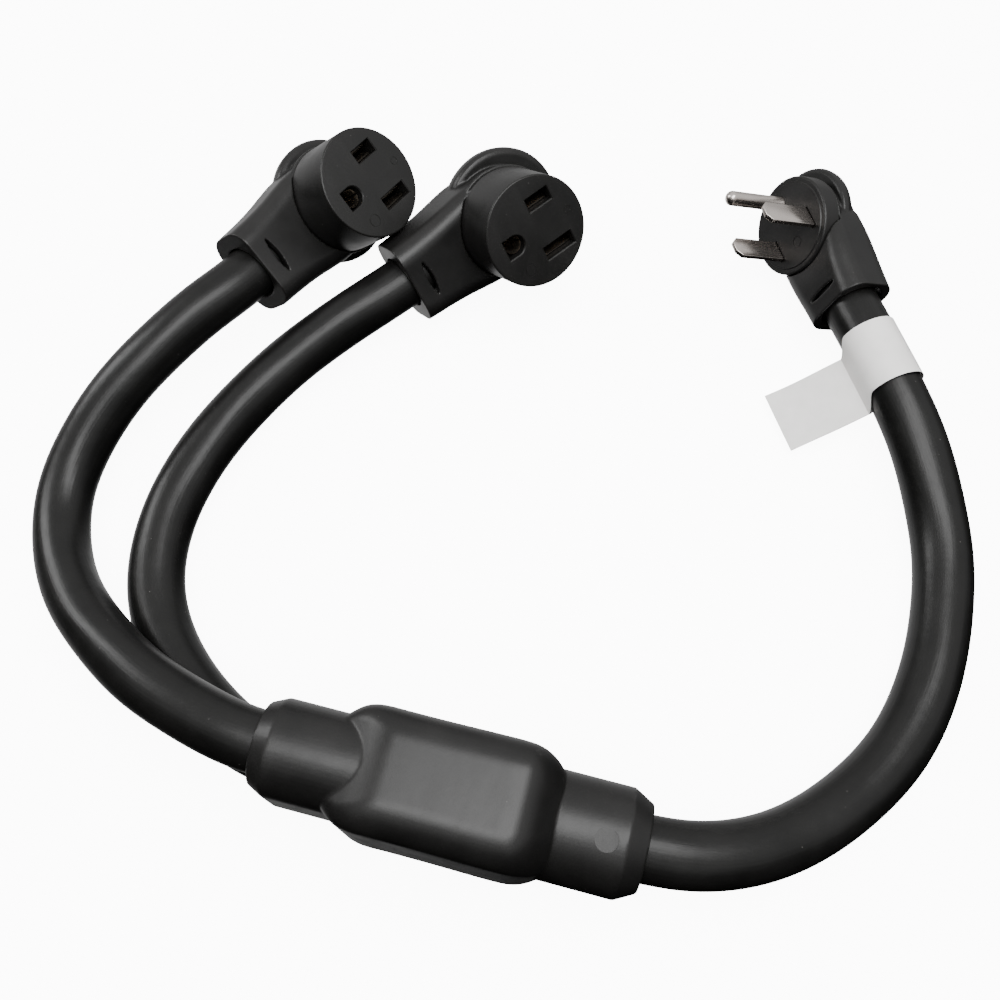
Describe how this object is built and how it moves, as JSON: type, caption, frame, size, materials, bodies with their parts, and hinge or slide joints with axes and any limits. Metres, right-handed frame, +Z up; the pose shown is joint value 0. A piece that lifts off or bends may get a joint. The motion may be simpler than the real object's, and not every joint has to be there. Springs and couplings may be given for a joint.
{
  "type": "power adapter",
  "caption": "Y-shaped power adapter cord: an angled three-prong plug on a thick trunk cable, a moulded junction and two angled three-hole receptacles on limb cables.",
  "frame": {"origin": "centre of the junction's flat base, on the surface it rests on", "axes": "+X along the junction, from the end where the two limb cables leave towards the end where the trunk cable leaves; +Z up from the surface; +Y towards the side the three connectors lie on"},
  "size_m": [0.3542, 0.3096, 0.0633],
  "materials": {
    "black_overmould": "satin flexible PVC moulding, fine matte texture",
    "black_face_core": "smooth semi-gloss thermoplastic",
    "black_cable_jacket": "semi-gloss extruded PVC jacket",
    "nickel_prong": "nickel-plated brass, lightly brushed",
    "brass_contact": "stamped spring brass",
    "copper_crimp": "plain crimped copper",
    "black_lead": "black conductor insulation",
    "white_lead": "white conductor insulation",
    "green_lead": "green conductor insulation",
    "white_label": "blank white vinyl wrap label, satin"
  },
  "bodies": {
    "root": {"junction_body": "black_overmould", "line_crimp_1": "copper_crimp", "line_crimp_2": "copper_crimp", "ground_crimp": "copper_crimp", "junction_limb_a_line_lead_1": "black_lead", "junction_limb_a_line_lead_2": "white_lead", "junction_limb_a_ground_lead": "green_lead", "junction_limb_b_line_lead_1": "black_lead", "junction_limb_b_line_lead_2": "white_lead", "junction_limb_b_ground_lead": "green_lead", "junction_trunk_line_lead_1": "black_lead", "junction_trunk_line_lead_2": "white_lead", "junction_trunk_ground_lead": "green_lead", "limb_a_cable": "black_cable_jacket", "limb_b_cable": "black_cable_jacket", "trunk_cable": "black_cable_jacket", "cable_label": "white_label", "plug_face_core": "black_face_core", "plug_overmould": "black_overmould", "plug_line_blade_1": "nickel_prong", "plug_line_blade_2": "nickel_prong", "plug_ground_pin": "nickel_prong", "plug_line_lead_1": "black_lead", "plug_line_lead_2": "white_lead", "plug_ground_lead": "green_lead", "receptacle_a_face_core": "black_face_core", "receptacle_a_overmould": "black_overmould", "receptacle_a_line_contact_1": "brass_contact", "receptacle_a_line_contact_2": "brass_contact", "receptacle_a_ground_contact": "brass_contact", "receptacle_a_line_lead_1": "black_lead", "receptacle_a_line_lead_2": "white_lead", "receptacle_a_ground_lead": "green_lead", "receptacle_b_face_core": "black_face_core", "receptacle_b_overmould": "black_overmould", "receptacle_b_line_contact_1": "brass_contact", "receptacle_b_line_contact_2": "brass_contact", "receptacle_b_ground_contact": "brass_contact", "receptacle_b_line_lead_1": "black_lead", "receptacle_b_line_lead_2": "white_lead", "receptacle_b_ground_lead": "green_lead"}
  },
  "joints": []
}
